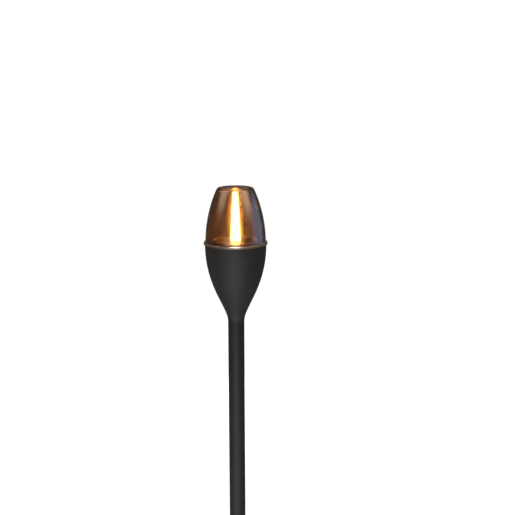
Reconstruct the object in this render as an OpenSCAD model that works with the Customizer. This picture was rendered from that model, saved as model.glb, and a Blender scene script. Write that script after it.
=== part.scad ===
// Solar garden torch: a tulip-shaped cup and a smoked cap with a glowing flame stick,
// on a two-piece tube pole with a ground spike.
// Millimetres, +Z up. The origin is on the pole's axis at the ground line,
// on the underside of the spike's collar.

/* [Pole] */
// Outside diameter of the pole tubes
pole_d = 22; // [21:0.5:22]
// Wall thickness of the pole tubes
pole_wall = 1; // [0.8:0.1:1.2]
// Length of one pole section
section_l = 290; // [240:5:340]
// Height of the flush ring between the two sections
joint_ring_h = 2; // [1:0.5:4]
// Depth of the plastic spigots inside the tubes
spigot_l = 30; // [20:1:34]

/* [Ground spike] */
// Length of the blades below the ground line
spike_l = 150; // [120:5:180]
// Width across the blades at the ground line
spike_w = 25; // [20:1:28]
// Thickness of one blade
blade_t = 2.8; // [2.2:0.2:3.4]
// Diameter of the collar that rests on the ground
collar_d = 36; // [32:1:44]
// Height of the collar
collar_h = 5; // [4:0.5:7]

/* [Cup] */
// Outside diameter of the cup at its rim
cup_d = 82; // [81.6:0.1:82.4]
// Height of the cup from its rim to the top of the pole
cup_h = 105.1; // [103:0.1:110]
// Wall thickness at the cup's mouth
cup_wall = 2.4; // [2.2:0.1:2.6]
// Length of the cup's spigot inside the pole
neck_spigot_l = 24; // [18:1:30]

/* [Cap] */
// Outside diameter of the smoked cap at its foot
cap_d = 80.6; // [80:0.1:80.8]
// Height of the cap above the lip
cap_h = 72.4; // [72:0.1:76]
// Wall thickness of the cap
cap_wall = 2; // [1.6:0.1:2.2]

/* [Light unit] */
// Outside diameter of the lip
lip_d = 85.2; // [84:0.2:87]
// Height of the lip
lip_h = 3.4; // [3:0.2:4]
// Radius of the flat solar deck
deck_r = 29.4; // [28.6:0.2:30]
// Height of the solar deck above the lip
deck_rise = 2.1; // [1.8:0.1:2.6]
// Depth of the skirt that plugs into the cup
skirt_l = 9.6; // [9.2:0.1:10.4]

/* [Flame stick] */
// Radius of the stick where it leaves the deck
stick_base_r = 6.6; // [6.2:0.1:6.9]
// Radius of the stick just under its round tip
stick_tip_r = 3.1; // [3:0.1:3.6]
// Height of the stick's tip above the lip
stick_h = 69.2; // [66:0.1:69.4]
// Wall thickness of the frosted sleeve
stick_wall = 1.2; // [1:0.1:1.2]

/* [Battery and switch] */
// Diameter of the rechargeable cell
cell_d = 14.5; // [14:0.1:14.5]
// Length of the cell with its button
cell_l = 50.4; // [49.5:0.1:50.5]
// Travel of the switch knob
switch_travel = 3; // [2:0.5:3]

/* [Hidden] */

$fn = 96;

// running clearance between a spigot and its tube, radial
run_gap = 0.05;
// small overlap that joins the solids of one moulding
weld = 0.2;

// pole
pole_r = pole_d / 2;
bore_r = pole_r - pole_wall;
spigot_r = bore_r - run_gap;
spigot_wall = 2;
tip_chamfer = 1;
lower_foot_z = collar_h;
lower_top_z = lower_foot_z + section_l;
upper_foot_z = lower_top_z + joint_ring_h;
neck_z = upper_foot_z + section_l;

// the lip's top face, from which the head is measured
lip_z = neck_z + cup_h + lip_h;

// cup
rim_r = cup_d / 2;
mouth_r = rim_r - cup_wall;
neck_r = pole_r + 0.2;
mouth_depth = 12;
cup_foot_z = -lip_h - cup_h;
cup_floor_z = cup_foot_z + 11;
floor_r = 10;
drain_r = 2;

// where the cup's outside turns from bulging to hollow, and the handles that draw its curves
waist = [25.7, -71.6];
above_waist = [33.2, -55.2];
below_waist = [18.2, -88];
belly_pull = 30;
neck_pull = 9;

// the same for its inside
inner_waist = [23.5, -70];
above_inner_waist = [30.6, -54.6];
below_inner_waist = [16.6, -84.6];
above_floor = [12.4, -93.5];
inner_mouth_pull = [mouth_r - 0.2, -31];

// cap
cap_r = cap_d / 2;
cap_inner_r = cap_r - cap_wall;
cap_foot_depth = 2.4;
cap_top_r = 21.9;
shoulder = [25.4, cap_h - 3.3];
below_shoulder = [33.7, cap_h - 21.3];
above_shoulder = [24.6, cap_h - 1.4];
top_pull = [23.4, cap_h];
cap_side_pull = 25.3;

// inside of the cap, one wall further in
inner_shoulder = [shoulder[0] - cap_wall, cap_h - 4.6];
below_inner_shoulder = [31.6, cap_h - 22.2];
above_inner_shoulder = [22.8, cap_h - 3.2];
inner_top_pull = [22.1, cap_h - cap_wall];
inner_top_r = 20.5;

// housing
lip_r = lip_d / 2;
seat_r = cap_r + 0.1;
channel_z = -lip_h + 0.2;
pan_foot_r = deck_r + 6.6;
recess_r = deck_r - 0.7;
recess_z = deck_rise - 2.9;
deck_t = 2;
under_z = recess_z - deck_t;
skirt_r = mouth_r - 0.1;
skirt_in_r = 35.5;
skirt_z = -lip_h - skirt_l;
stick_hole_r = stick_base_r + 0.2;
ring_wire_r = 1;
groove_r = skirt_r - 2 * ring_wire_r;
groove_z = -lip_h - 4.6;
groove_h = 2.4;
lead_hole = [14, 10];
lead_hole_r = 2;

// solar panel
board_t = 1;
cell_t = 0.3;
cell_count = 6;
cell_gap_angle = 4;
cell_margin = 2.2;
cover_sink = 0.5;

// control board, on three posts under the deck
post_ring_r = 22;
post_r = 3;
post_angles = [90, 210, 330];
control_r = 26;
control_t = 1.6;
control_top_z = under_z - 5.2;
control_z = control_top_z - control_t;
board_screw_r = 0.9;

// base plate and its screws
base_t = 2;
base_r = 38;
base_z = skirt_z - base_t;
boss_ring_r = 31;
boss_r = 3.2;
boss_angles = [60, 120, 270];
base_screw_r = 1.1;

// battery bay under the base plate
bay_y = -6;
bay_wall = 1.5;
bay_l = 57;
bay_w = cell_d + 0.6;
bay_h = 12;
contact_t = 0.4;
contact_w = 10;
contact_h = 11;
tag_w = 3;
tag_rise = 3.4;
cell_r = cell_d / 2;
cell_z = base_z - 0.4 - cell_r;
plus_x = bay_l / 2 - contact_t;
touch_gap = 0.05;
button_l = 1.2;
button_r = 2.75;
cell_end_x = plus_x - touch_gap - cell_l;

// slide switch
switch_y = 16;
knob_l = 3.2;
knob_w = 2.6;
stem_l = 1.6;
stem_w = 1.4;
stem_h = 1.4;
switch_h = 3;
switch_half = [4.3, 1.9];
slide_gap = 0.1;
switch_z = control_z - switch_h;
knob_rest_x = -switch_travel / 2;
knob_drop = 2;

// flame stick: how its taper grows with height, its foot, and the ring that holds it
stick_taper = 1.2;
flange_r = 9;
flange_t = 1.6;
retainer_in_r = 7;
retainer_r = 12;
retainer_h = 3;

// light board inside the stick
led_board_w = 4.4;
led_board_t = 0.8;
led_rows = 9;
led_first_z = 5;
led_pitch = 6;
led_half = 1;
led_t = 0.6;

// colours
moulded_black = [0.06, 0.058, 0.058];
painted_black = [0.07, 0.068, 0.068];
smoke = [0.32, 0.25, 0.2, 0.45];
warm_frost = [1, 0.86, 0.55];
seal_grey = [0.12, 0.12, 0.12];
board_green = [0.05, 0.25, 0.12];
nickel = [0.75, 0.74, 0.7];

// a point on a cubic curve through p[0] and p[3], drawn towards p[1] and p[2]
function curve_point(p, t) =
    pow(1 - t, 3) * p[0] + 3 * pow(1 - t, 2) * t * p[1]
    + 3 * (1 - t) * t * t * p[2] + t * t * t * p[3];

// the curve as count + 1 points
function curve(p, count) = [for (i = [0 : count]) curve_point(p, i / count)];

// two curves end to end, without the point that they share
function joined(first, second) = concat(first, [for (i = [1 : len(second) - 1]) second[i]]);

// part of an ellipse from angle a0 to a1, about a centre
function ellipse_arc(centre, rx, ry, a0, a1, count) =
    [for (i = [0 : count])
        let (a = a0 + (a1 - a0) * i / count)
        centre + [rx * cos(a), ry * sin(a)]];

function unit(v) = v / norm(v);

// direction of a path at its point i
function heading(path, i) =
    unit(path[min(i + 1, len(path) - 1)] - path[max(i - 1, 0)]);

// a round wire swept along a path that never runs along up
module wire(path, wire_r, up, sides = 8) {
    rings = [for (i = [0 : len(path) - 1])
        let (d = heading(path, i),
             u = unit(cross(d, up)),
             v = cross(d, u))
        for (k = [0 : sides - 1])
            path[i] + wire_r * (u * cos(360 * k / sides) + v * sin(360 * k / sides))];
    last = (len(path) - 1) * sides;
    side_faces = [for (i = [0 : len(path) - 2]) for (k = [0 : sides - 1])
        [(i + 1) * sides + k, (i + 1) * sides + (k + 1) % sides,
         i * sides + (k + 1) % sides, i * sides + k]];
    first_face = [for (k = [0 : sides - 1]) k];
    last_face = [for (k = [0 : sides - 1]) last + sides - 1 - k];
    polyhedron(points = rings, faces = concat(side_faces, [first_face], [last_face]), convexity = 4);
}

module block(low, high) {
    translate(low)
        cube(high - low);
}

// places children at the lip's level
module at_head() {
    translate([0, 0, lip_z])
        children();
}

// repeats children at angles on a ring
module on_ring(ring_r, angles) {
    for (a = angles)
        rotate([0, 0, a])
            translate([ring_r, 0, 0])
                children();
}

// hollow spigot standing on z = 0, chamfered at its far end
module spigot(length) {
    rotate_extrude()
        polygon([[spigot_r - spigot_wall, 0], [spigot_r, 0], [spigot_r, length - tip_chamfer],
                 [spigot_r - tip_chamfer, length], [spigot_r - spigot_wall, length]]);
}

// one tapered blade, centred on the axis, in the XZ plane
module blade() {
    half = spike_w / 2;
    rotate([90, 0, 0])
        linear_extrude(height = blade_t, center = true)
            polygon([[-half, 0], [half, 0], [half - 1.5, -spike_l * 0.2],
                     [half * 0.42, -spike_l * 0.8], [1, -spike_l], [-1, -spike_l],
                     [-half * 0.42, -spike_l * 0.8], [-half + 1.5, -spike_l * 0.2]]);
}

module ground_spike() {
    color(moulded_black) {
        blade();
        rotate([0, 0, 90])
            blade();
        rotate_extrude()
            polygon([[0, 0], [collar_d / 2, 0], [collar_d / 2, collar_h * 0.45],
                     [pole_r + 2, collar_h], [0, collar_h]]);
        translate([0, 0, collar_h - weld])
            spigot(spigot_l + weld);
    }
}

module pole_tube(foot_z) {
    translate([0, 0, foot_z])
        difference() {
            cylinder(h = section_l, r = pole_r);
            translate([0, 0, -1])
                cylinder(h = section_l + 2, r = bore_r);
        }
}

module lower_pole() {
    color(painted_black)
        pole_tube(lower_foot_z);
}

module upper_pole() {
    color(painted_black)
        pole_tube(upper_foot_z);
}

// pressed into the lower tube, and the upper tube slides over it
module pole_joiner() {
    color(moulded_black) {
        translate([0, 0, lower_top_z])
            rotate_extrude()
                polygon([[spigot_r - spigot_wall, -spigot_l], [bore_r - tip_chamfer, -spigot_l],
                         [bore_r, -spigot_l + tip_chamfer], [bore_r, 0], [pole_r, 0],
                         [pole_r, joint_ring_h], [spigot_r - spigot_wall, joint_ring_h]]);
        translate([0, 0, upper_foot_z - weld])
            spigot(spigot_l + weld);
    }
}

// outside of the cup from its rim down to the neck
function cup_outside() = joined(
    curve([[rim_r, -lip_h], [rim_r, -lip_h - belly_pull], above_waist, waist], 14),
    curve([waist, below_waist, [neck_r, cup_foot_z + neck_pull], [neck_r, cup_foot_z]], 12));

// inside of the cup from its floor up to the mouth's straight bore
function cup_inside() = joined(
    curve([[floor_r, cup_floor_z], above_floor, below_inner_waist, inner_waist], 10),
    curve([inner_waist, above_inner_waist, inner_mouth_pull, [mouth_r, -lip_h - mouth_depth]], 12));

module cup() {
    color(moulded_black)
        at_head()
            difference() {
                union() {
                    rotate_extrude()
                        polygon(concat([[0, cup_foot_z], [0, -lip_h]], cup_outside()));
                    translate([0, 0, cup_foot_z + weld])
                        mirror([0, 0, 1])
                            spigot(neck_spigot_l + weld);
                }
                rotate_extrude()
                    polygon(concat([[0, cup_floor_z]], cup_inside(),
                                   [[mouth_r, -lip_h + 1], [0, -lip_h + 1]]));
                translate([0, 0, cup_foot_z - 1])
                    cylinder(h = cup_floor_z - cup_foot_z + 2, r = drain_r);
            }
}

// outside of the cap from its foot up to the flat top
function cap_outside() = joined(
    curve([[cap_r, 0], [cap_r, cap_side_pull], below_shoulder, shoulder], 20),
    curve([shoulder, above_shoulder, top_pull, [cap_top_r, cap_h]], 6));

// inside of the cap from the flat top down to its foot
function cap_inside() = joined(
    curve([[inner_top_r, cap_h - cap_wall], inner_top_pull, above_inner_shoulder, inner_shoulder], 6),
    curve([inner_shoulder, below_inner_shoulder, [cap_inner_r, cap_side_pull], [cap_inner_r, 0]], 20));

module smoked_cap() {
    color(smoke)
        at_head()
            rotate_extrude()
                polygon(concat([[cap_r, -cap_foot_depth]], cap_outside(),
                               [[0, cap_h], [0, cap_h - cap_wall]], cap_inside(),
                               [[cap_inner_r, -cap_foot_depth]]));
}

// flat ring under the cap's foot
module cap_gasket() {
    color(seal_grey)
        at_head()
            translate([0, 0, channel_z])
                difference() {
                    cylinder(h = -cap_foot_depth - channel_z, r = cap_r);
                    translate([0, 0, -1])
                        cylinder(h = 4, r = cap_inner_r);
                }
}

// lip, cap seat, raised pan and skirt in one moulding
module housing_shell() {
    rotate_extrude()
        polygon(concat(
            [[stick_hole_r, under_z], [stick_hole_r, recess_z], [recess_r, recess_z],
             [recess_r, deck_rise]],
            ellipse_arc([deck_r, channel_z], pan_foot_r - deck_r, deck_rise - channel_z, 90, 0, 8),
            [[seat_r, channel_z], [seat_r, 0], [lip_r - 0.5, 0], [lip_r, -0.5], [lip_r, -lip_h],
             [skirt_r, -lip_h], [skirt_r, groove_z + groove_h / 2], [groove_r, groove_z + groove_h / 2],
             [groove_r, groove_z - groove_h / 2], [skirt_r, groove_z - groove_h / 2],
             [skirt_r, skirt_z], [skirt_in_r, skirt_z], [skirt_in_r, -lip_h - 2],
             [pan_foot_r - 2, -lip_h - 2], [pan_foot_r - 4.5, under_z]]));
}

module unit_housing() {
    color(moulded_black)
        at_head()
            difference() {
                union() {
                    housing_shell();
                    on_ring(post_ring_r, post_angles)
                        translate([0, 0, control_top_z])
                            cylinder(h = under_z - control_top_z + weld, r = post_r);
                    on_ring(boss_ring_r, boss_angles)
                        translate([0, 0, skirt_z])
                            cylinder(h = under_z - skirt_z + weld, r = boss_r);
                }
                on_ring(post_ring_r, post_angles)
                    translate([0, 0, control_top_z - 1])
                        cylinder(h = 5, r = board_screw_r);
                on_ring(boss_ring_r, boss_angles)
                    translate([0, 0, skirt_z - 1])
                        cylinder(h = 8, r = base_screw_r);
                translate([lead_hole[0], lead_hole[1], under_z - 1])
                    cylinder(h = deck_t + 2, r = lead_hole_r);
            }
}

module unit_o_ring() {
    color(seal_grey)
        at_head()
            translate([0, 0, groove_z])
                rotate_extrude()
                    translate([mouth_r - run_gap - ring_wire_r, 0])
                        circle(r = ring_wire_r, $fn = 32);
}

module panel_board() {
    color("navy")
        at_head()
            translate([0, 0, recess_z])
                difference() {
                    cylinder(h = board_t, r = recess_r - 0.2);
                    translate([0, 0, -1])
                        cylinder(h = board_t + 2, r = stick_hole_r);
                }
}

// fan-shaped cells round the stick
module solar_cells() {
    color([0.06, 0.08, 0.22])
        at_head()
            for (i = [0 : cell_count - 1])
                rotate([0, 0, 360 * i / cell_count + cell_gap_angle / 2])
                    translate([0, 0, recess_z + board_t])
                        rotate_extrude(angle = 360 / cell_count - cell_gap_angle)
                            translate([stick_hole_r + cell_margin, 0])
                                square([recess_r - stick_hole_r - 2 * cell_margin, cell_t]);
}

// clear hard resin over the cells, a little below the pan's rim
module panel_cover() {
    cover_z = recess_z + board_t + cell_t;
    color([0.2, 0.2, 0.24, 0.5])
        at_head()
            translate([0, 0, cover_z])
                difference() {
                    cylinder(h = deck_rise - cover_sink - cover_z, r = recess_r - 0.1);
                    translate([0, 0, -1])
                        cylinder(h = 4, r = stick_hole_r);
                }
}

// radius of the stick's outside at a height above the lip
function stick_r(z) = stick_base_r
    + (stick_tip_r - stick_base_r) * pow(max(z, 0) / stick_h, stick_taper);

// hollow frosted sleeve with a round tip and a foot flange under the deck
module flame_stick() {
    steps = 10;
    round_z = stick_h - stick_tip_r;
    round_r = stick_r(round_z);
    inner_tip_r = stick_tip_r - stick_wall;
    foot_z = under_z - flange_t;
    color(warm_frost)
        at_head()
            rotate_extrude()
                polygon(concat(
                    [[stick_base_r - stick_wall, foot_z], [flange_r, foot_z], [flange_r, under_z],
                     [stick_base_r, under_z]],
                    [for (i = [0 : steps - 1])
                        let (z = round_z * i / steps)
                        [stick_r(z), z]],
                    ellipse_arc([0, round_z], round_r, stick_tip_r, 0, 90, 8),
                    ellipse_arc([0, round_z], round_r - stick_wall, inner_tip_r, 90, 0, 6),
                    [for (i = [1 : steps])
                        let (z = round_z * (1 - i / steps))
                        [stick_r(z) - stick_wall, z]]));
}

// ring that holds the stick's flange up against the deck
module stick_retainer() {
    ledge_r = flange_r + run_gap;
    color(moulded_black)
        at_head()
            rotate_extrude()
                polygon([[retainer_in_r, under_z - retainer_h], [retainer_r, under_z - retainer_h],
                         [retainer_r, under_z], [ledge_r, under_z],
                         [ledge_r, under_z - flange_t], [retainer_in_r, under_z - flange_t]]);
}

module led_board() {
    color("white")
        at_head()
            block([-led_board_w / 2, -led_board_t / 2, control_z],
                  [led_board_w / 2, led_board_t / 2, led_first_z + led_pitch * (led_rows - 0.5)]);
}

// rows of small lamps on both faces of the board
module led_chips() {
    color([1, 0.9, 0.55])
        at_head()
            for (side = [0, 180], i = [0 : led_rows - 1])
                rotate([0, 0, side])
                    translate([0, 0, led_first_z + led_pitch * i])
                        block([-led_half, led_board_t / 2, -led_half],
                              [led_half, led_board_t / 2 + led_t, led_half]);
}

module control_board() {
    color(board_green)
        at_head()
            difference() {
                translate([0, 0, control_z])
                    cylinder(h = control_t, r = control_r);
                block([-led_board_w / 2, -led_board_t / 2, control_z - 1],
                      [led_board_w / 2, led_board_t / 2, control_top_z + 1]);
                on_ring(post_ring_r, post_angles)
                    translate([0, 0, control_z - 1])
                        cylinder(h = control_t + 2, r = board_screw_r);
            }
}

// chip, coil, capacitor and resistors under the control board
module board_parts() {
    chip_low = [6, 8];
    chip_size = [5, 4, 1.6];
    coil_place = [-14, 12];
    coil_h = 2.6;
    capacitor_place = [5, -13];
    capacitor_h = 2.8;
    resistor_places = [[-6, 9], [-6, 12], [12, 4], [12, 1], [-14, -3]];
    resistor_size = [2, 1.2, 0.6];
    color([0.1, 0.1, 0.1])
        at_head() {
            translate([chip_low[0], chip_low[1], control_z - chip_size[2]])
                cube(chip_size);
            translate([coil_place[0], coil_place[1], control_z - coil_h])
                cylinder(h = coil_h, r = 2.8);
            translate([capacitor_place[0], capacitor_place[1], control_z - capacitor_h])
                cylinder(h = capacitor_h, r = 2);
            for (p = resistor_places)
                translate([p[0], p[1], control_z - resistor_size[2] / 2])
                    cube(resistor_size, center = true);
        }
}

// pan-head screw pointing up from z = 0 with a crossed slot in its head
module pan_screw(shank_r, shank_l, head_r, head_h) {
    slot_w = shank_r * 0.5;
    slot_half = head_r * 0.55;
    cylinder(h = shank_l, r = shank_r);
    difference() {
        rotate_extrude()
            polygon([[0, 0], [head_r, 0], [head_r, -head_h * 0.5], [head_r * 0.7, -head_h], [0, -head_h]]);
        for (a = [0, 90])
            rotate([0, 0, a])
                block([-slot_half, -slot_w / 2, -head_h - 1],
                      [slot_half, slot_w / 2, -head_h * 0.45]);
    }
}

module board_screws() {
    color(nickel)
        at_head()
            on_ring(post_ring_r, post_angles)
                translate([0, 0, control_z])
                    pan_screw(board_screw_r, shank_l = control_t + 3.6, head_r = 1.9, head_h = 1.4);
}

module base_screws() {
    color(nickel)
        at_head()
            on_ring(boss_ring_r, boss_angles)
                translate([0, 0, base_z])
                    pan_screw(base_screw_r, shank_l = base_t + 6, head_r = 2.6, head_h = 1.8);
}

// round plate with the battery bay hanging under it
module unit_base() {
    bay_x = bay_l / 2 + bay_wall;
    bay_y_half = bay_w / 2 + bay_wall;
    slot_half = [knob_l / 2 + switch_travel / 2 + 2 * slide_gap, knob_w / 2 + 2 * slide_gap];
    color(moulded_black)
        at_head()
            difference() {
                union() {
                    translate([0, 0, base_z])
                        cylinder(h = base_t, r = base_r);
                    block([-bay_x, bay_y - bay_y_half, base_z - bay_h],
                          [bay_x, bay_y + bay_y_half, base_z + weld]);
                }
                block([-bay_l / 2, bay_y - bay_w / 2, base_z - bay_h - 1],
                      [bay_l / 2, bay_y + bay_w / 2, base_z]);
                for (side = [-1, 1])
                    translate([side * (bay_l / 2 - contact_t / 2), bay_y, base_z])
                        cube([contact_t, tag_w, 3 * base_t], center = true);
                on_ring(boss_ring_r, boss_angles)
                    translate([0, 0, base_z - 1])
                        cylinder(h = base_t + 2, r = base_screw_r);
                block([-slot_half[0], switch_y - slot_half[1], base_z - 1],
                      [slot_half[0], switch_y + slot_half[1], skirt_z + 1]);
            }
}

// contact plate with a tag that passes up through the base
module contact_plate(x) {
    block([x, bay_y - contact_w / 2, base_z - contact_h],
          [x + contact_t, bay_y + contact_w / 2, base_z]);
    block([x, bay_y - tag_w / 2, base_z - weld],
          [x + contact_t, bay_y + tag_w / 2, base_z + tag_rise]);
}

module plus_contact() {
    color(nickel)
        at_head()
            contact_plate(plus_x);
}

// plate and cone-shaped spring that push the cell against the plus contact
module minus_spring() {
    turns = 3.5;
    steps = 42;
    wire_r = 0.35;
    coil_foot_r = 4.2;
    coil_tip_r = 2.6;
    foot_x = -bay_l / 2 + contact_t;
    free_l = cell_end_x - touch_gap - foot_x;
    coil = [for (i = [0 : steps])
        let (t = i / steps, a = 360 * turns * t, r = coil_foot_r + (coil_tip_r - coil_foot_r) * t)
        [foot_x + wire_r * 0.3 + (free_l - wire_r * 1.3) * t,
         bay_y + r * cos(a), cell_z + r * sin(a)]];
    color(nickel)
        at_head() {
            contact_plate(-bay_l / 2);
            wire(coil, wire_r, [1, 0, 0], 6);
        }
}

module switch_body() {
    groove_half = [stem_l / 2 + switch_travel / 2 + slide_gap, stem_w / 2 + slide_gap];
    color([0.55, 0.56, 0.58])
        at_head()
            difference() {
                block([-switch_half[0], switch_y - switch_half[1], switch_z],
                      [switch_half[0], switch_y + switch_half[1], control_z]);
                block([-groove_half[0], switch_y - groove_half[1], switch_z - 1],
                      [groove_half[0], switch_y + groove_half[1], switch_z + stem_h + 2 * slide_gap]);
            }
}

module switch_knob() {
    head_top_z = switch_z - 0.2;
    color([0.1, 0.1, 0.1])
        at_head()
            translate([knob_rest_x, switch_y, 0]) {
                block([-knob_l / 2, -knob_w / 2, base_z - knob_drop],
                      [knob_l / 2, knob_w / 2, head_top_z]);
                block([-stem_l / 2, -stem_w / 2, head_top_z - weld],
                      [stem_l / 2, stem_w / 2, switch_z + stem_h]);
            }
}

// red and black wires from the solar panel to the control board
module solar_leads() {
    lead_r = 0.5;
    pull = 3;
    top_x = lead_hole[0];
    foot_x = top_x + 1.5;
    color("firebrick")
        at_head()
            for (y = [lead_hole[1] - 0.8, lead_hole[1] + 0.8])
                wire(curve([[top_x, y, recess_z], [top_x, y, recess_z - pull],
                            [foot_x, y, control_top_z + pull], [foot_x, y, control_top_z]], 10),
                     lead_r, [0, 1, 0]);
}

// wires from the two battery tags to the control board
module battery_leads() {
    lead_r = 0.4;
    tag_z = base_z + tag_rise - 0.7;
    color("firebrick")
        at_head()
            for (side = [-1, 1])
                let (tag_x = side * plus_x, pull_x = side * (plus_x - 3), top_x = side * (plus_x - 4))
                    wire(curve([[tag_x, bay_y, tag_z], [pull_x, bay_y, tag_z],
                                [top_x, bay_y, tag_z], [top_x, bay_y, control_z]], 10),
                         lead_r, [0, 1, 0]);
}

module battery_cell() {
    can_l = cell_l - button_l;
    edge = 0.6;
    color([0.1, 0.32, 0.2])
        at_head()
            translate([cell_end_x, bay_y, cell_z])
                rotate([0, 90, 0])
                    rotate_extrude()
                        polygon([[0, 0], [cell_r - edge, 0], [cell_r, edge], [cell_r, can_l - edge],
                                 [cell_r - edge, can_l], [0, can_l]]);
}

module battery_button() {
    color(nickel)
        at_head()
            translate([cell_end_x + cell_l - button_l, bay_y, cell_z])
                rotate([0, 90, 0])
                    rotate_extrude()
                        polygon([[0, 0], [button_r, 0], [button_r, button_l - 0.3],
                                 [button_r - 0.3, button_l], [0, button_l]]);
}

ground_spike();
lower_pole();
pole_joiner();
upper_pole();
cup();
smoked_cap();
cap_gasket();
unit_housing();
unit_o_ring();
panel_board();
solar_cells();
panel_cover();
flame_stick();
stick_retainer();
led_board();
led_chips();
control_board();
board_parts();
board_screws();
unit_base();
base_screws();
plus_contact();
minus_spring();
switch_body();
switch_knob();
solar_leads();
battery_leads();
battery_cell();
battery_button();
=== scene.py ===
"""Looks of the solar garden torch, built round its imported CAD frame.

The scene is in metres. Outlines and the sizes that make them are in millimetres.
"""

import math

import bpy
import bmesh
from mathutils import Matrix, Vector


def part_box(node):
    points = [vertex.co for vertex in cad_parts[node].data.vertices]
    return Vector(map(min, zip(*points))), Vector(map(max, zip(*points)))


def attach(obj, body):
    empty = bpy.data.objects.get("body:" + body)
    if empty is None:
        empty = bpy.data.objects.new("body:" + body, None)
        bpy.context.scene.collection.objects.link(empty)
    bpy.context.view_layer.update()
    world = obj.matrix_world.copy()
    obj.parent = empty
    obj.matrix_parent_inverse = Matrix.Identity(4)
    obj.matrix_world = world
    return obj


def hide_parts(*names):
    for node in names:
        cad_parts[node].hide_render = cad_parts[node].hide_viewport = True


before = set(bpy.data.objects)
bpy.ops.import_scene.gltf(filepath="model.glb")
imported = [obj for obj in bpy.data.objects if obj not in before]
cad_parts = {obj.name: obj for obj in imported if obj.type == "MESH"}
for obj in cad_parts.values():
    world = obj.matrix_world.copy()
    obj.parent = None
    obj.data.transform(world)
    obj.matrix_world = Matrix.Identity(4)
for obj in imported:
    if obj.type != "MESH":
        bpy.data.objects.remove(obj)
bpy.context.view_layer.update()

# ---------------------------------------------------------------- places taken from the frame
MM = 0.001
CAP_FOOT_DEPTH = 2.4 * MM
LIP_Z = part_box("smoked_cap")[0][2] + CAP_FOOT_DEPTH
CAP_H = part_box("smoked_cap")[1][2] - LIP_Z
LIP_H = LIP_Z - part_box("cup")[1][2]
NECK_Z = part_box("upper_pole")[1][2]
FLOOR_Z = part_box("ground_spike")[0][2]
POLE_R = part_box("upper_pole")[1][0]
FLANGE_T = 1.6
UNDER_DECK = (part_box("flame_stick")[0][2] + FLANGE_T * MM - LIP_Z) / MM

# ---------------------------------------------------------------- camera
# reach in front of the torch's axis, rise above the lip, turns in degrees, lens and sensor in millimetres
CAMERA_REACH = 1.474
CAMERA_RISE = 0.2725
CAMERA_PITCH = 11.3
CAMERA_YAW = 1.129
CAMERA_ROLL = 0.2
CAMERA_LENS = 78.64
CAMERA_SENSOR = 36
CAMERA_SEES_TO = 50


def make_camera():
    data = bpy.data.cameras.new("camera")
    data.lens = CAMERA_LENS
    data.sensor_width = CAMERA_SENSOR
    data.clip_end = CAMERA_SEES_TO
    camera = bpy.data.objects.new("camera", data)
    bpy.context.scene.collection.objects.link(camera)
    turn = (Matrix.Rotation(math.radians(-CAMERA_YAW), 4, "Z")
            @ Matrix.Rotation(math.radians(90 - CAMERA_PITCH), 4, "X")
            @ Matrix.Rotation(math.radians(-CAMERA_ROLL), 4, "Z"))
    camera.matrix_world = Matrix.Translation((0, -CAMERA_REACH, LIP_Z + CAMERA_RISE)) @ turn
    bpy.context.scene.camera = camera


make_camera()

# ---------------------------------------------------------------- materials
# radius of the bevel test that finds the edges to wear
WEAR_REACH = 0.6 * MM


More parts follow.
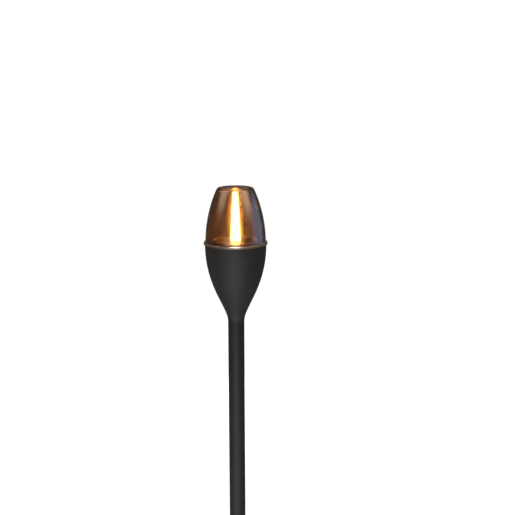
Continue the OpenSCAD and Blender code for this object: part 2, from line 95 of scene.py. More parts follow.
class Look:
    """A material with one Principled shader and helpers for its nodes."""

    def __init__(self, name, roughness=0.5, metallic=0.0):
        self.material = bpy.data.materials.new(name)
        self.material.use_nodes = True
        self.tree = self.material.node_tree
        self.shader = self.tree.nodes["Principled BSDF"]
        self.set("Roughness", roughness)
        self.set("Metallic", metallic)

    def set(self, socket, value):
        self.shader.inputs[socket].default_value = value

    def drive(self, socket, source):
        self.link(source, self.shader.inputs[socket])

    def node(self, kind, **inputs):
        made = self.tree.nodes.new("ShaderNode" + kind)
        for key, value in inputs.items():
            made.inputs[key.replace("_", " ")].default_value = value
        return made

    def link(self, source, target):
        self.tree.links.new(source, target)

    def place(self, stretch=None):
        source = self.node("TexCoord").outputs["Object"]
        if not stretch:
            return source
        mapping = self.node("Mapping", Scale=stretch)
        self.link(source, mapping.inputs["Vector"])
        return mapping.outputs["Vector"]

    def noise(self, scale, detail=3.0, roughness=0.5, stretch=None):
        texture = self.node("TexNoise", Scale=scale, Detail=detail, Roughness=roughness)
        self.link(self.place(stretch), texture.inputs["Vector"])
        return texture.outputs["Fac"]

    def bands(self, kind, direction, scale):
        """Evenly spaced lines. kind is BANDS or RINGS, and direction is the axis that they follow."""
        texture = self.node("TexWave", Scale=scale)
        texture.wave_type = kind
        if kind == "RINGS":
            texture.rings_direction = direction
        else:
            texture.bands_direction = direction
        self.link(self.place(), texture.inputs["Vector"])
        return texture.outputs["Fac"]

    def ramp(self, factor, stops):
        made = self.node("ValToRGB")
        elements = made.color_ramp.elements
        while len(elements) < len(stops):
            elements.new(0.5)
        for element, (position, colour) in zip(elements, stops):
            element.position = position
            element.color = (*colour, 1)
        self.link(factor, made.inputs["Fac"])
        return made.outputs["Color"]

    def span(self, factor, low, high, start=0.0, stop=1.0):
        made = self.node("MapRange")
        for name, value in (("From Min", start), ("From Max", stop), ("To Min", low), ("To Max", high)):
            made.inputs[name].default_value = value
        self.link(factor, made.inputs["Value"])
        return made.outputs["Result"]

    def blend(self, factor, first, second):
        made = self.node("Mix")
        made.data_type = "RGBA"
        self.link(factor, made.inputs["Factor"])
        for value, target in ((first, made.inputs["A"]), (second, made.inputs["B"])):
            if isinstance(value, tuple):
                target.default_value = (*value, 1)
            else:
                self.link(value, target)
        return made.outputs["Result"]

    def maths(self, operation, first, second):
        made = self.node("Math")
        made.operation = operation
        for value, target in ((first, made.inputs[0]), (second, made.inputs[1])):
            if isinstance(value, float):
                target.default_value = value
            else:
                self.link(value, target)
        return made.outputs["Value"]

    def wear(self, amount=0.6):
        """Patchy mask of up to amount on edges, which the wear attribute or a bevel test finds."""
        marked = self.node("Attribute")
        marked.attribute_name = "wear"
        round_off = self.node("Bevel", Radius=WEAR_REACH)
        round_off.samples = 4
        facing = self.node("VectorMath")
        facing.operation = "DOT_PRODUCT"
        self.link(round_off.outputs["Normal"], facing.inputs[0])
        self.link(self.node("NewGeometry").outputs["Normal"], facing.inputs[1])
        rounded = self.span(facing.outputs["Value"], 1, 0, 0.86, 0.99)
        edge = self.maths("MAXIMUM", marked.outputs["Fac"], rounded)
        patches = self.span(self.noise(420, 4, 0.6), 0, amount, 0.38, 0.62)
        return self.maths("MULTIPLY", edge, patches)

    def bump(self, height, strength, distance):
        made = self.node("Bump", Strength=strength, Distance=distance)
        self.link(height, made.inputs["Height"])
        self.drive("Normal", made.outputs["Normal"])


def moulded_look(name, dark, light, worn, gloss=(0.5, 0.62), grain=0.3):
    """Fine-grained moulded plastic: two close tones, uneven gloss, a spark-eroded grain, rubbed edges."""
    look = Look(name)
    rubbed = look.wear()
    tone = look.ramp(look.noise(60, 4), [(0.3, dark), (0.7, light)])
    look.drive("Base Color", look.blend(rubbed, tone, worn))
    dull = look.span(look.noise(180, 5), *gloss)
    look.drive("Roughness", look.maths("SUBTRACT", dull, look.maths("MULTIPLY", rubbed, 0.12)))
    look.bump(look.noise(2600, 2, 0.6), grain, 0.00006)
    return look


def black_plastic():
    look = moulded_look("moulded_black", (0.025, 0.0225, 0.0222), (0.031, 0.028, 0.0276),
                        (0.05, 0.047, 0.046))
    look.set("Specular IOR Level", 0.4)
    return look.material


def pole_paint():
    """Satin paint on steel tube: orange peel, faint marks along the tube, bare grey at its rubbed ends."""
    look = Look("painted_black")
    rubbed = look.wear(0.9)
    streaks = look.noise(90, 3, 0.5, (1, 1, 0.06))
    tone = look.ramp(streaks, [(0.3, (0.020, 0.0188, 0.0188)),
                               (0.7, (0.025, 0.0235, 0.0235))])
    look.drive("Base Color", look.blend(rubbed, tone, (0.12, 0.115, 0.11)))
    look.drive("Roughness", look.span(streaks, 0.54, 0.64))
    look.set("Specular IOR Level", 0.4)
    look.bump(look.noise(900, 2, 0.5), 0.2, 0.00008)
    return look.material


def housing_plastic():
    """Polished recess of the deck, hole for the stick, and underside."""
    look = moulded_look("housing_black", (0.020, 0.018, 0.017), (0.027, 0.024, 0.023),
                        (0.04, 0.037, 0.035), (0.2, 0.3), 0.06)
    return look.material


def lip_plastic():
    """Polished lip, channel for the cap, and outer slope of the deck."""
    look = moulded_look("lip_black", (0.011, 0.009, 0.008), (0.015, 0.013, 0.012),
                        (0.03, 0.027, 0.025), (0.2, 0.3), 0.1)
    look.set("Specular IOR Level", 1.0)
    return look.material


def rim_highlight_plastic():
    """Duller edge of the deck, rougher than the rest; its lighter grey-brown tone is a painted highlight,
    the lit arc of the edge in the stick's light.
    """
    look = moulded_look("rim_black", (0.05, 0.042, 0.035), (0.07, 0.058, 0.05),
                        (0.10, 0.085, 0.07), (0.42, 0.55), 0.2)
    return look.material


SMOKE_TINT = (0.34, 0.235, 0.16)
SPECK_SCALE = 5000
SPECK_ROUGHNESS = 0.36


def smoke_look(name, roughness, haze, haze_roughness=0.27, frost=0.0):
    """Smoked clear plastic, faintly wavy. haze is a second, wider gloss from its fine inner texture.

    More frost means more tiny dull specks on the surface, which spread the light of the stick.
    """
    look = Look(name)
    look.set("Base Color", (*SMOKE_TINT, 1))
    look.set("Transmission Weight", 1.0)
    look.set("IOR", 1.49)
    look.set("Coat Weight", haze)
    look.set("Coat Roughness", haze_roughness)
    look.set("Coat IOR", 1.8)
    clear = look.span(look.noise(140, 3), *roughness)
    if frost:
        specks = look.span(look.noise(SPECK_SCALE, 1), 0, SPECK_ROUGHNESS, 0.68 - frost, 0.72 - frost)
        clear = look.maths("MAXIMUM", clear, specks)
    look.drive("Roughness", clear)
    look.bump(look.noise(34, 2), 0.25, 0.0006)
    return look.material


def rubber_look():
    look = moulded_look("seal_rubber", (0.018, 0.018, 0.018), (0.026, 0.026, 0.026),
                        (0.035, 0.035, 0.035), (0.65, 0.8), 0.5)
    return look.material


def glow_look():
    """Frosted sleeve lit from inside, with a trace of mottling in the frost."""
    look = Look("frosted_warm", 0.45)
    frost = look.noise(300, 3)
    look.drive("Base Color", look.ramp(frost, [(0.3, (0.86, 0.7, 0.46)), (0.7, (0.93, 0.8, 0.56))]))
    look.set("Emission Color", (1.0, 0.45, 0.12, 1))
    look.set("Emission Strength", 360.0)
    return look.material


def resin_look():
    """Clear hard resin, poured flat, with a faint swell."""
    look = Look("panel_resin")
    look.set("Base Color", (0.75, 0.72, 0.70, 1))
    look.set("Transmission Weight", 1.0)
    look.set("IOR", 1.5)
    look.drive("Roughness", look.span(look.noise(70, 3), 0.26, 0.34))
    look.bump(look.noise(60, 2), 0.15, 0.0004)
    return look.material


def cell_look():
    """Blue-black silicon with printed fingers in rings and a darker mottle between them."""
    look = Look("cell_blue", 0.3)
    silicon = look.ramp(look.noise(240, 4, 0.7), [(0.3, (0.006, 0.009, 0.028)),
                                                  (0.7, (0.012, 0.018, 0.05))])
    fingers = look.span(look.bands("RINGS", "Z", 175), 0, 1, 0.93, 0.97)
    look.drive("Base Color", look.blend(fingers, silicon, (0.30, 0.31, 0.33)))
    look.drive("Roughness", look.span(fingers, 0.28, 0.45))
    return look.material


def board_look(name, dark, light, track):
    """Circuit board: mottled solder mask over raised tracks that cross."""
    look = Look(name)
    lanes = look.span(look.bands("BANDS", "X", 55), 0, 1, 0.72, 0.8)
    rows = look.span(look.bands("BANDS", "Y", 31), 0, 1, 0.8, 0.88)
    tracks = look.maths("MAXIMUM", lanes, rows)
    mask = look.ramp(look.noise(500, 3), [(0.3, dark), (0.7, light)])
    look.drive("Base Color", look.blend(tracks, mask, track))
    look.drive("Roughness", look.span(look.noise(220, 3), 0.28, 0.42))
    look.bump(tracks, 0.4, 0.00005)
    return look.material


def component_look():
    look = moulded_look("component_black", (0.016, 0.016, 0.017), (0.024, 0.024, 0.025),
                        (0.045, 0.045, 0.045), (0.5, 0.7), 0.2)
    return look.material


def lamp_look():
    look = Look("lamp_chip", 0.35)
    phosphor = look.noise(900, 2)
    look.drive("Base Color", look.ramp(phosphor, [(0.3, (0.75, 0.55, 0.12)), (0.7, (0.85, 0.68, 0.2))]))
    look.bump(look.noise(1500, 2), 0.2, 0.00005)
    return look.material


def nickel_look():
    """Plated steel with drawn lines and dull spots."""
    look = Look("nickel", 0.3, 1.0)
    spots = look.noise(700, 4, 0.7)
    look.drive("Base Color", look.ramp(spots, [(0.35, (0.42, 0.40, 0.36)), (0.6, (0.62, 0.60, 0.55))]))
    look.drive("Roughness", look.span(spots, 0.42, 0.2))
    look.bump(look.noise(1800, 2, 0.5, (1, 0.05, 1)), 0.15, 0.00004)
    return look.material


def wire_look(name, dark, light):
    look = Look(name)
    look.drive("Base Color", look.ramp(look.noise(350, 3), [(0.3, dark), (0.7, light)]))
    look.drive("Roughness", look.span(look.noise(600, 3), 0.38, 0.52))
    look.bump(look.noise(1200, 2), 0.15, 0.00004)
    return look.material


def sleeve_look():
    """Shrink sleeve: glossy, with long soft creases and rubbed edges."""
    look = Look("cell_sleeve")
    rubbed = look.wear(0.8)
    tone = look.ramp(look.noise(120, 3), [(0.3, (0.012, 0.085, 0.04)), (0.7, (0.018, 0.11, 0.052))])
    look.drive("Base Color", look.blend(rubbed, tone, (0.10, 0.2, 0.14)))
    look.drive("Roughness", look.span(look.noise(260, 4), 0.22, 0.36))
    look.bump(look.noise(150, 2, 0.5, (0.15, 1, 1)), 0.3, 0.0002)
    return look.material


BLACK_PLASTIC = black_plastic()
POLE_PAINT = pole_paint()
HOUSING_PLASTIC = housing_plastic()
LIP_PLASTIC = lip_plastic()
RIM_HIGHLIGHT_PLASTIC = rim_highlight_plastic()
SMOKE = smoke_look("smoked_clear", (0.0, 0.03), 0.0)
SMOKE_INSIDE = smoke_look("smoked_inside", (0.0, 0.03), 0.6, 0.2, 0.15)
SMOKE_TOP = smoke_look("smoked_top", (0.28, 0.34), 0.0)
RUBBER = rubber_look()
GLOW = glow_look()
RESIN = resin_look()
CELL = cell_look()
DARK_BOARD = board_look("board_dark", (0.008, 0.012, 0.03), (0.014, 0.02, 0.045), (0.03, 0.04, 0.07))
WHITE_BOARD = board_look("board_white", (0.62, 0.62, 0.60), (0.72, 0.72, 0.70), (0.55, 0.55, 0.53))
GREEN_BOARD = board_look("board_green", (0.008, 0.07, 0.03), (0.012, 0.10, 0.04), (0.03, 0.17, 0.07))
COMPONENT = component_look()
LAMP = lamp_look()
NICKEL = nickel_look()
WIRE = wire_look("wire_red", (0.30, 0.015, 0.012), (0.38, 0.022, 0.016))
SLEEVE = sleeve_look()

# ---------------------------------------------------------------- outlines and lathe work
# outlines are in millimetres; GUARD is the reach of the unworn points beside a worn corner
GUARD = 0.5


def curve(p0, p1, p2, p3, count):
    """count + 1 points of a cubic curve, with as many coordinates as its four given points."""
    points = []
    for i in range(count + 1):
        t = i / count
        points.append(tuple(
            (1 - t) ** 3 * a + 3 * (1 - t) ** 2 * t * b + 3 * (1 - t) * t * t * c + t ** 3 * d
            for a, b, c, d in zip(p0, p1, p2, p3)))
    return points


def arc(centre, rx, ry, start, stop, count):
    """count + 1 points of an ellipse's arc, angles in degrees."""
    points = []
    for i in range(count + 1):
        a = math.radians(start + (stop - start) * i / count)
        points.append((centre[0] + rx * math.cos(a), centre[1] + ry * math.sin(a)))
    return points


def fillet(before, corner, after, radius, count=6):
    """Points (x, y, wear) of a round corner, with unworn guard points beside it where there is room."""
    b, c, a = Vector(before), Vector(corner), Vector(after)
    to_b, to_a = (b - c), (a - c)
    room = 0.48 * min(to_b.length, to_a.length)
    to_b.normalize()
    to_a.normalize()
    half = to_b.angle(to_a) / 2
    reach = min(radius / math.tan(half), room)
    centre = c + (to_b + to_a).normalized() * (reach / math.cos(half))
    r = reach * math.tan(half)
    u = (c + to_b * reach - centre) / r
    v = (c + to_a * reach - centre) / r
    sweep = u.angle(v)
    points = []
    if room > reach + GUARD:
        points.append((*(c + to_b * (reach + GUARD)), 0))
    for i in range(count + 1):
        t = i / count
        w = (u * math.sin((1 - t) * sweep) + v * math.sin(t * sweep)) / math.sin(sweep)
        points.append((*(centre + w * r), math.sin(math.pi * t)))
    if room > reach + GUARD:
        points.append((*(c + to_a * (reach + GUARD)), 0))
    return points


def outline(*parts):
    """Joins points and rounded corners. A part is a point, a list of points, or (point, radius)."""
    flat = []
    for part in parts:
        if isinstance(part, list):
            flat += [(p, 0) for p in part]
        elif isinstance(part[0], tuple):
            flat.append(part)
        else:
            flat.append((part, 0))
    result = []
    for i, (point, radius) in enumerate(flat):
        if radius:
            result += fillet(flat[i - 1][0], point, flat[(i + 1) % len(flat)][0], radius)
        else:
            result.append((*point, 0))
    return result


class Shape:
    """A mesh under construction, in metres, with a wear value on each point."""

    def __init__(self):
        self.work = bmesh.new()
        self.worn = self.work.verts.layers.float.new("wear")

    def point(self, place, wear=0.0):
        made = self.work.verts.new(place)
        made[self.worn] = wear
        return made

    def face(self, corners):
        self.work.faces.new(list(dict.fromkeys(corners)))

    def lathe(self, points, segments, origin=(0, 0, 0), axis="Z"):
        """Turns a closed outline in millimetres about an axis through origin."""
        rings = []
        for radius, height, wear in points:
            count = segments if radius > 1e-6 else 1
            ring = []
            for k in range(count):
                a = 2 * math.pi * k / segments
                across, up, along = radius * math.cos(a), radius * math.sin(a), height
                offset = (across, up, along) if axis == "Z" else (along, across, up)
                ring.append(self.point(Vector(origin) + Vector(offset) * MM, wear))
            rings.append(ring)
        for i, low in enumerate(rings):
            high = rings[(i + 1) % len(rings)]
            if len(low) == 1 and len(high) == 1:
                continue
            for k in range(segments):
                n = (k + 1) % segments
                self.face([low[k % len(low)], low[n % len(low)],
                           high[n % len(high)], high[k % len(high)]])

    def loft(self, sections):
        """Joins closed rings of places, each with the same count, and closes both ends."""
        rings = [[self.point(place) for place in section] for section in sections]
        count = len(rings[0])
        for low, high in zip(rings, rings[1:]):
            for k in range(count):
                n = (k + 1) % count
                self.face([low[k], low[n], high[n], high[k]])
        self.face(rings[0])
        self.face(rings[-1])

    def tube(self, path, radius, up, sides=14):
        """Sweeps a round section along places that never run along up."""
        sections = []
        for i, place in enumerate(path):
            ahead = Vector(path[min(i + 1, len(path) - 1)]) - Vector(path[max(i - 1, 0)])
            across = ahead.cross(Vector(up)).normalized()
            over = across.cross(ahead).normalized()
            r = radius(i / (len(path) - 1)) if callable(radius) else radius
            sections.append([
                Vector(place) + (across * math.cos(2 * math.pi * k / sides)
                                 + over * math.sin(2 * math.pi * k / sides)) * r
                for k in range(sides)])
        self.loft(sections)

    def block(self, low, high):
        plan = ((low[0], low[1]), (high[0], low[1]), (high[0], high[1]), (low[0], high[1]))
        self.loft([[(x, y, z) for x, y in plan] for z in (low[2], high[2])])

    def mesh(self, name, angle=35):
        bmesh.ops.recalc_face_normals(self.work, faces=self.work.faces)
        made = bpy.data.meshes.new(name)
        self.work.to_mesh(made)
        self.work.free()
        for face in made.polygons:
            face.use_smooth = True
        made.set_sharp_from_angle(angle=math.radians(angle))
        return made


def new_piece(mesh, body, materials, replaced):
    piece = bpy.data.objects.new(mesh.name, mesh)
    bpy.context.scene.collection.objects.link(piece)
    for material in materials:
        mesh.materials.append(material)
    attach(piece, body)
    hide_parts(*replaced)
    return piece


def round_edges(piece, width):
    """Rounds a piece's sharp edges. width is in millimetres."""
    bevel = piece.modifiers.new("edges", "BEVEL")
    bevel.width = width * MM
    bevel.segments = 2
    bevel.limit_method = "ANGLE"
    bevel.angle_limit = math.radians(40)
    bevel.harden_normals = True


def turned(name, points, segments, base_z):
    shape = Shape()
    shape.lathe(points, segments, (0, 0, base_z))
    return shape.mesh(name)


# ---------------------------------------------------------------- cup
RIM_R = 41.0
MOUTH_R = 38.6
NECK_R = POLE_R / MM + 0.2
CUP_LOW = (NECK_Z - LIP_Z) / MM
CUP_FLOOR = CUP_LOW + 11
RIM = -LIP_H / MM
WAIST = (25.7, -71.6)
INNER_WAIST = (23.5, -70)
DRAIN_R = 2
SPIGOT_R = POLE_R / MM - 1.05
SPIGOT_WALL = 2
SPIGOT_H = 24


def make_cup():
    outside = (curve((RIM_R, RIM - 0.6), (RIM_R, RIM - 30), (33.2, -55.2), WAIST, 40)
               + curve(WAIST, (18.2, -88), (NECK_R, CUP_LOW + 9), (NECK_R, CUP_LOW + 0.3), 40)[1:])
    inside = (curve((10, CUP_FLOOR), (12.4, -93.5), (16.6, -84.6), INNER_WAIST, 24)
              + curve(INNER_WAIST, (30.6, -54.6), (MOUTH_R - 0.2, -31), (MOUTH_R, RIM - 12), 24)[1:])
    foot = CUP_LOW - SPIGOT_H
    points = outline(
        outside[::-1],
        ((RIM_R, RIM), 0.5), ((MOUTH_R, RIM), 0.4), inside[::-1],
        ((DRAIN_R, CUP_FLOOR), 0.3), (DRAIN_R, CUP_LOW + 1), (SPIGOT_R - SPIGOT_WALL, CUP_LOW + 0.2),
        ((SPIGOT_R - SPIGOT_WALL, foot), 0.3), ((SPIGOT_R - 1, foot), 0.3),
        ((SPIGOT_R, foot + 1), 0.3), (SPIGOT_R, CUP_LOW), (NECK_R - 0.3, CUP_LOW))
    new_piece(turned("cup_shell", points, 192, LIP_Z), "cup", [BLACK_PLASTIC], ["cup"])


# ---------------------------------------------------------------- cap
CAP_R = 40.3
CAP_WALL = 2.0
TOP = CAP_H / MM
SHOULDER = (25.4, TOP - 3.3)
INNER_SHOULDER = (23.4, TOP - 4.6)
# a face this close to level counts as flat
LEVEL = 0.98


def make_cap():
    outside = (curve((CAP_R, 0), (CAP_R, 25.3), (33.7, TOP - 21.3), SHOULDER, 48)
               + curve(SHOULDER, (24.6, TOP - 1.4), (23.4, TOP), (21.9, TOP), 14)[1:])
    inside = (curve((20.5, TOP - 2), (22.1, TOP - 2), (22.8, TOP - 3.2), INNER_SHOULDER, 12)
              + curve(INNER_SHOULDER, (31.6, TOP - 22.2), (CAP_R - 2, 25.3), (CAP_R - 2, 0), 48)[1:])
    foot = -CAP_FOOT_DEPTH / MM
    points = outline(
        ((CAP_R - CAP_WALL, foot), 0.4), ((CAP_R, foot), 0.4), outside,
        (0, TOP), (0, TOP - CAP_WALL), inside)
    mesh = turned("cap_shell", points, 192, LIP_Z)
    materials = [SMOKE, SMOKE_INSIDE, SMOKE_TOP]
    new_piece(mesh, "light_unit", materials, ["smoked_cap"])
    for face in mesh.polygons:
        outward = Vector((face.center.x, face.center.y, 0))
        if face.normal.z < -LEVEL and face.center.z > LIP_Z:
            face.material_index = materials.index(SMOKE_TOP)
        elif face.normal.dot(outward) < -1e-9:
            face.material_index = materials.index(SMOKE_INSIDE)


# ---------------------------------------------------------------- housing with lip and deck
DECK_R = 29.4
DECK_RISE = 2.1
LIP_R = 42.6
RECESS_R = DECK_R - 0.7
RECESS_Z = DECK_RISE - 2.9
STICK_HOLE_R = 6.8
SKIRT_R = MOUTH_R - 0.1
SKIRT_IN_R = 35.5
SKIRT_LOW = RIM - 9.6
GROOVE_R = SKIRT_R - 2
GROOVE_Z = RIM - 4.6
POST_RING_R = 22
POST_ANGLES = (90, 210, 330)
POST_LOW = UNDER_DECK - 5.2
BOSS_RING_R = 31
BOSS_ANGLES = (60, 120, 270)
# height of the deck's edge band that takes the lighter tone, a painted highlight
DULL_HIGHLIGHT_RIM_H = 0.8


def add_boss(shape, ring_r, angle, low, outer_r, hole_r):
    """Hollow post under the deck, closed at its top, for a screw."""
    a = math.radians(angle)
    origin = (ring_r * MM * math.cos(a), ring_r * MM * math.sin(a), LIP_Z)
    top = UNDER_DECK + 0.2
    points = outline((0, top - 1.5), (hole_r, top - 1.5), ((hole_r, low), 0.2),
                     ((outer_r, low), 0.3), (outer_r, top), (0, top))
    shape.lathe(points, 40, origin)


def make_housing():
    channel = RIM + 0.2
    points = outline(
        (STICK_HOLE_R, UNDER_DECK), ((STICK_HOLE_R, RECESS_Z), 0.2), (RECESS_R, RECESS_Z),
        ((RECESS_R, DECK_RISE), 0.3),
        arc((DECK_R, channel), 6.6, DECK_RISE - channel, 88, 0, 20),
        (CAP_R + 0.1, channel), ((CAP_R + 0.1, 0), 0.3), ((LIP_R, 0), 1.0), ((LIP_R, RIM), 0.6),
        (SKIRT_R, RIM), ((SKIRT_R, GROOVE_Z + 1.2), 0.15), (GROOVE_R, GROOVE_Z + 1.2),
        (GROOVE_R, GROOVE_Z - 1.2), ((SKIRT_R, GROOVE_Z - 1.2), 0.15),
        ((SKIRT_R, SKIRT_LOW), 0.5), ((SKIRT_IN_R, SKIRT_LOW), 0.3),
        (SKIRT_IN_R, RIM - 2), (DECK_R + 4.6, RIM - 2), (DECK_R + 2.1, UNDER_DECK))
    shape = Shape()
    shape.lathe(points[::-1], 192, (0, 0, LIP_Z))
    for angle in POST_ANGLES:
        add_boss(shape, POST_RING_R, angle, POST_LOW, 3, 0.9)
    for angle in BOSS_ANGLES:
        add_boss(shape, BOSS_RING_R, angle, SKIRT_LOW, 3.2, 1.1)
    mesh = shape.mesh("housing")
    materials = [HOUSING_PLASTIC, LIP_PLASTIC, BLACK_PLASTIC, RIM_HIGHLIGHT_PLASTIC]
    new_piece(mesh, "light_unit", materials, ["unit_housing"])
    for face in mesh.polygons:
        radius = face.center.xy.length / MM
        height = (face.center.z - LIP_Z) / MM
        if height < RIM + 0.1:
            face.material_index = materials.index(BLACK_PLASTIC)
        elif radius > CAP_R:
            face.material_index = materials.index(LIP_PLASTIC)
        elif radius > DECK_R + 0.3 and face.normal.z > 0.05:
            face.material_index = materials.index(LIP_PLASTIC)
        # the top of the deck's edge takes the lighter tone, a painted highlight
        elif radius > RECESS_R - 0.1 and height > DECK_RISE - DULL_HIGHLIGHT_RIM_H:
            face.material_index = materials.index(RIM_HIGHLIGHT_PLASTIC)


# ---------------------------------------------------------------- flame stick
STICK_BASE_R = 6.6
STICK_TIP_R = 3.1
STICK_H = 69.2
STICK_TAPER = 1.2
STICK_WALL = 1.2
FLANGE_R = 9


def stick_radius(z):
    return STICK_BASE_R + (STICK_TIP_R - STICK_BASE_R) * (max(z, 0) / STICK_H) ** STICK_TAPER


def make_stick():
    round_z = STICK_H - STICK_TIP_R
    steps = 30
    tip_r = stick_radius(round_z)
    side = [(stick_radius(round_z * i / steps), round_z * i / steps) for i in range(steps)]
    bore = [(r - STICK_WALL, z) for r, z in reversed(side)]
    foot = UNDER_DECK - FLANGE_T
    points = outline(
        (STICK_BASE_R - STICK_WALL, foot), ((FLANGE_R, foot), 0.2), ((FLANGE_R, UNDER_DECK), 0.2),
        (STICK_BASE_R, UNDER_DECK), side, arc((0, round_z), tip_r, STICK_TIP_R, 0, 90, 14),
        arc((0, round_z), tip_r - STICK_WALL, STICK_TIP_R - STICK_WALL, 90, 0, 10), bore)
    mesh = turned("stick_sleeve", points, 96, LIP_Z)
    new_piece(mesh, "light_unit", [GLOW], ["flame_stick"])


# ---------------------------------------------------------------- pole tubes and ground spike
TUBE_WALL = 1


def make_tube(name, node, body):
    low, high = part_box(node)
    length = (high[2] - low[2]) / MM
    outer, inner = POLE_R / MM, POLE_R / MM - TUBE_WALL
    points = outline(((inner, 0), 0.25), ((outer, 0), 0.35),
                     ((outer, length), 0.35), ((inner, length), 0.25))
    new_piece(turned(name, points, 128, low[2]), body, [POLE_PAINT], [node])


SPIKE_HALF = 12.5
COLLAR_R = 18
COLLAR_H = 5
SPIKE_SPIGOT_H = 30
BLADE_T = 2.8
BLADE_EDGE_T = 1.5


def blade_half(depth):
    """Half the blade's width at a share of its depth: short taper, long taper, point."""
    stops = ((0, SPIKE_HALF), (0.2, SPIKE_HALF - 1.5), (0.8, SPIKE_HALF * 0.42), (1, 1))
    for (d0, w0), (d1, w1) in zip(stops, stops[1:]):
        if depth <= d1:
            return w0 + (w1 - w0) * (depth - d0) / (d1 - d0)
    return 1


def add_blade(shape, turn):
    """Blade that is thick along its spine and thin at its edges."""
    length = -FLOOR_Z / MM
    steps = 40
    sections = []
    for i in range(steps + 1):
        depth = i / steps
        half, spine = blade_half(depth), BLADE_T / 2
        edge = min(BLADE_EDGE_T / 2, half * 0.7)
        flat = half * 0.35
        ring = [(-half, -edge), (-flat, -spine), (flat, -spine), (half, -edge),
                (half, edge), (flat, spine), (-flat, spine), (-half, edge)]
        z = COLLAR_H * 0.4 * (1 - min(depth * steps, 1)) - length * depth
        sections.append([turn @ Vector((x * MM, y * MM, z * MM)) for x, y in ring])
    shape.loft(sections)


def make_spike():
    shape = Shape()
    for angle in (0, 90):
        add_blade(shape, Matrix.Rotation(math.radians(angle), 3, "Z"))
    hole_r = SPIGOT_R - SPIGOT_WALL
    top = COLLAR_H + SPIKE_SPIGOT_H
    floor = COLLAR_H * 0.9
    shape.lathe(outline(
        (0, 0), ((COLLAR_R, 0), 0.6), ((COLLAR_R, COLLAR_H * 0.45), 0.8),
        ((POLE_R / MM + 2, COLLAR_H), 0.5), (SPIGOT_R, COLLAR_H), ((SPIGOT_R, top - 1), 0.3),
        ((SPIGOT_R - 1, top), 0.3), ((hole_r, top), 0.3), (hole_r, floor), (0, floor)), 96)
    mesh = shape.mesh("spike")
    piece = new_piece(mesh, "ground_spike", [BLACK_PLASTIC], ["ground_spike"])
    round_edges(piece, 0.35)


# ---------------------------------------------------------------- battery, spring and wires
CELL_R = 7.25
CAP_RING_R = CELL_R - 2.3


def make_battery():
    low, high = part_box("battery_cell")
    length = (high[0] - low[0]) / MM
    middle = ((low[1] + high[1]) / 2, (low[2] + high[2]) / 2)
    groove = length - 4.2
    points = outline(
        (0, 0.35), (CELL_R - 2.2, 0.35), ((CELL_R - 1.9, 0), 0.15), ((CELL_R, 0), 0.7),
        (CELL_R, groove - 0.9), ((CELL_R - 0.35, groove), 0.6), (CELL_R, groove + 0.9),
        ((CELL_R, length), 0.7), ((CELL_R - 2.6, length), 0.15),
        (CELL_R - 2.9, length - 0.35), (0, length - 0.35))
    shape = Shape()
    shape.lathe(points, 96, (low[0], *middle), "X")
    mesh = shape.mesh("battery_sleeve")
    materials = [SLEEVE, NICKEL]
    new_piece(mesh, "battery", materials, ["battery_cell"])
    for face in mesh.polygons:
        radius = Vector((face.center.y - middle[0], face.center.z - middle[1])).length / MM
        if abs(face.normal.x) > 0.9 and radius < CAP_RING_R:
            face.material_index = materials.index(NICKEL)


SPRING_WIRE_R = 0.35
SPRING_FOOT_R = 4.2
SPRING_TIP_R = 2.6
SPRING_TURNS = 3.5
PLATE_T = 0.4
PLATE_LOW_W = 10
TAG_W = 3
BASE_T = 2


def make_spring():
    low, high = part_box("minus_spring")
    cell_low, cell_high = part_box("battery_cell")
    y, z = (cell_low[1] + cell_high[1]) / 2, (cell_low[2] + cell_high[2]) / 2
    base_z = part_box("unit_base")[1][2] - BASE_T * MM
    foot = low[0] + PLATE_T * MM
    shape = Shape()
    shape.block((low[0], y - PLATE_LOW_W / 2 * MM, low[2]), (foot, y + PLATE_LOW_W / 2 * MM, base_z))
    shape.block((low[0], y - TAG_W / 2 * MM, base_z - 0.2 * MM), (foot, y + TAG_W / 2 * MM, high[2]))
    steps = 150
    reach = high[0] - foot - SPRING_WIRE_R * MM
    path = []
    for i in range(steps + 1):
        t = i / steps
        a = 2 * math.pi * SPRING_TURNS * t
        r = (SPRING_FOOT_R + (SPRING_TIP_R - SPRING_FOOT_R) * t) * MM
        path.append((foot + reach * t, y + r * math.cos(a), z + r * math.sin(a)))
    shape.tube(path, SPRING_WIRE_R * MM, (1, 0, 0), 10)
    mesh = shape.mesh("spring_contact", 50)
    piece = new_piece(mesh, "light_unit", [NICKEL], ["minus_spring"])
    round_edges(piece, 0.06)


def make_wires(name, node, routes, wire_r):
    """Soft wires that narrow at each end. A route is a cubic curve's four places."""

    def thick(t):
        end = min(t, 1 - t)
        return wire_r * MM * (1 - 0.25 * math.exp(-(end / 0.05) ** 2))

    shape = Shape()
    for route in routes:
        shape.tube(curve(*route, 40), thick, (0, 1, 0))
    new_piece(shape.mesh(name), "light_unit", [WIRE], [node])


def make_leads():
    low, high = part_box("solar_leads")
    wire_r = 0.5
    pull = 3 * MM
    inset = 4 * MM
    routes = []
    for y in (low[1] + wire_r * MM, high[1] - wire_r * MM):
        top_x, foot_x = low[0] + wire_r * MM, high[0] - wire_r * MM
        routes.append(((top_x, y, high[2]), (top_x, y, high[2] - pull),
                       (foot_x, y, low[2] + pull), (foot_x, y, low[2])))
    make_wires("solar_wires", "solar_leads", routes, wire_r)
    low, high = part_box("battery_leads")
    wire_r = 0.4
    y, z = (low[1] + high[1]) / 2, low[2] + wire_r * MM
    routes = []
    for side in (-1, 1):
        tag_x, top_x = side * high[0], side * (high[0] - inset)
        routes.append(((tag_x, y, z), (tag_x - side * pull, y, z), (top_x, y, z), (top_x, y, high[2])))
    make_wires("battery_wires", "battery_leads", routes, wire_r)


make_cup()
make_cap()
make_housing()
make_stick()
make_tube("upper_tube", "upper_pole", "upper_pole")
make_tube("lower_tube", "lower_pole", "lower_pole")
make_spike()
make_battery()
make_spring()
make_leads()

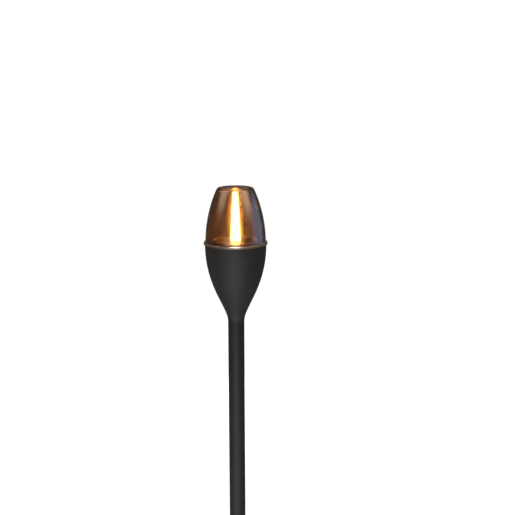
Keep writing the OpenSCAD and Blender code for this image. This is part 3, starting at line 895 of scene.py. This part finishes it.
# ---------------------------------------------------------------- carried-over CAD nodes
# each node's material, and the width in millimetres that its edges are rounded to
NODE_LOOKS = {
    "pole_joiner": (BLACK_PLASTIC, 0.3),
    "cap_gasket": (RUBBER, 0.12),
    "unit_o_ring": (RUBBER, 0),
    "panel_board": (DARK_BOARD, 0.1),
    "solar_cells": (CELL, 0.05),
    "panel_cover": (RESIN, 0.15),
    "stick_retainer": (BLACK_PLASTIC, 0.2),
    "led_board": (WHITE_BOARD, 0.1),
    "led_chips": (LAMP, 0.15),
    "control_board": (GREEN_BOARD, 0.15),
    "board_parts": (COMPONENT, 0.15),
    "board_screws": (NICKEL, 0.1),
    "unit_base": (BLACK_PLASTIC, 0.3),
    "base_screws": (NICKEL, 0.12),
    "plus_contact": (NICKEL, 0.06),
    "switch_body": (NICKEL, 0.15),
    "switch_knob": (COMPONENT, 0.2),
    "battery_button": (NICKEL, 0.1),
}
for node, (material, edge) in NODE_LOOKS.items():
    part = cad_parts[node]
    part.data.materials.clear()
    part.data.materials.append(material)
    if edge:
        round_edges(part, edge)

# ---------------------------------------------------------------- studio
FLOOR_SIZE = 6.0


def make_floor():
    mesh = bpy.data.meshes.new("floor")
    half = FLOOR_SIZE / 2
    corners = [(-half, -half, FLOOR_Z), (half, -half, FLOOR_Z),
               (half, half, FLOOR_Z), (-half, half, FLOOR_Z)]
    mesh.from_pydata(corners, [], [(0, 1, 2, 3)])
    look = Look("floor_paint", 0.8)
    look.set("Base Color", (0.6, 0.6, 0.6, 1))
    look.set("Emission Color", (1, 1, 1, 1))
    look.drive("Emission Strength", look.span(look.node("LightPath").outputs["Is Camera Ray"], 0, 1.0))
    mesh.materials.append(look.material)
    floor = bpy.data.objects.new("floor", mesh)
    bpy.context.scene.collection.objects.link(floor)


def make_world():
    world = bpy.data.worlds.new("studio")
    bpy.context.scene.world = world
    world.use_nodes = True
    tree = world.node_tree
    tree.nodes.clear()
    output = tree.nodes.new("ShaderNodeOutputWorld")
    mix = tree.nodes.new("ShaderNodeMixShader")
    seen = tree.nodes.new("ShaderNodeBackground")
    seen.inputs["Color"].default_value = (1, 1, 1, 1)
    seen.inputs["Strength"].default_value = 1.05
    around = tree.nodes.new("ShaderNodeBackground")
    around.inputs["Color"].default_value = (1, 0.93, 0.86, 1)
    around.inputs["Strength"].default_value = 0.1
    path = tree.nodes.new("ShaderNodeLightPath")
    tree.links.new(path.outputs["Is Camera Ray"], mix.inputs[0])
    tree.links.new(around.outputs[0], mix.inputs[1])
    tree.links.new(seen.outputs[0], mix.inputs[2])
    tree.links.new(mix.outputs[0], output.inputs["Surface"])


def soften(data, edge):
    """Fades a lamp towards its edges, over that share of its width and height."""
    data.use_nodes = True
    tree = data.node_tree
    split = tree.nodes.new("ShaderNodeSeparateXYZ")
    tree.links.new(tree.nodes.new("ShaderNodeNewGeometry").outputs["Parametric"], split.inputs[0])
    fades = []
    for axis in ("X", "Y"):
        fold = tree.nodes.new("ShaderNodeMath")
        fold.operation = "PINGPONG"
        fold.inputs[1].default_value = 0.5
        tree.links.new(split.outputs[axis], fold.inputs[0])
        fade = tree.nodes.new("ShaderNodeMapRange")
        fade.interpolation_type = "SMOOTHSTEP"
        fade.inputs["From Max"].default_value = edge
        tree.links.new(fold.outputs[0], fade.inputs["Value"])
        fades.append(fade)
    both = tree.nodes.new("ShaderNodeMath")
    both.operation = "MULTIPLY"
    for fade, target in zip(fades, both.inputs):
        tree.links.new(fade.outputs["Result"], target)
    tree.links.new(both.outputs[0], tree.nodes["Emission"].inputs["Strength"])


def softbox(name, azimuth, elevation, distance, size, power, colour=(1, 1, 1), edge=0.45, only=None):
    """A soft light aimed at the head, at that azimuth and elevation as seen from there.

    edge is passed to soften. only is the collection that the light is limited to.
    """
    data = bpy.data.lights.new(name, "AREA")
    data.shape = "RECTANGLE"
    data.size, data.size_y = size
    data.energy = power
    data.color = colour
    soften(data, edge)
    light = bpy.data.objects.new(name, data)
    a, e = math.radians(azimuth), math.radians(elevation)
    away = Vector((math.sin(a) * math.cos(e), -math.cos(a) * math.cos(e), math.sin(e)))
    light.location = Vector((0, 0, LIP_Z)) + away * distance
    light.rotation_euler = away.to_track_quat("Z", "Y").to_euler()
    if only:
        light.light_linking.receiver_collection = only
    bpy.context.scene.collection.objects.link(light)


def lit_group(name, pieces):
    """A collection of pieces for a light to be limited to."""
    made = bpy.data.collections.new(name)
    for piece in pieces:
        made.objects.link(piece)
    return made


make_floor()
make_world()

cap, housing = bpy.data.objects["cap_shell"], bpy.data.objects["housing"]
others = [piece for piece in bpy.data.objects if piece.type == "MESH" and piece not in (cap, housing)]
cap_only = lit_group("cap_only", [cap])
housing_only = lit_group("housing_only", [housing])
others_only = lit_group("others_only", others)
softbox("front", -8, -16, 2.2, (4.6, 1.6), 56)
softbox("front_low", -6, -46, 0.95, (1.6, 0.6), 9)
softbox("lip_middle", 0, 42, 1.8, (0.6, 1.2), 560, (1, 0.90, 0.72), only=housing_only)
softbox("lip_wide", 0, 40, 1.8, (1.8, 1.2), 320, (1, 0.40, 0.12), only=housing_only)
softbox("lip_top", 0, 80, 1.8, (0.4, 0.8), 400, (1, 0.8, 0.45), only=housing_only)
softbox("left_high", -76, 44, 1.8, (2.0, 2.8), 80, (1, 0.84, 0.66), only=cap_only)
softbox("right_high", 62, 44, 1.8, (2.0, 2.8), 96, (1, 0.88, 0.62), only=cap_only)
softbox("right_green", 100, 48, 1.8, (1.6, 1.2), 8, (0.7, 0.9, 0.5), 0.35, cap_only)
softbox("right_cool", 94, 4, 1.6, (2.5, 1.7), 27, (0.22, 0.50, 0.86), 0.35, cap_only)
softbox("overhead", 0, 80, 2.0, (1.0, 1.0), 14)
softbox("back", 180, 55, 2.4, (1.4, 1.2), 10, (1, 0.7, 0.46))
softbox("back_low", 180, -8, 2.2, (1.8, 1.6), 24, only=others_only)
softbox("left_low", -112, -8, 2.2, (0.9, 1.4), 3, only=others_only)
softbox("right_low", 112, -8, 2.2, (0.9, 1.4), 3, only=others_only)

scene = bpy.context.scene
scene.view_settings.view_transform = "Standard"
scene.view_settings.look = "None"
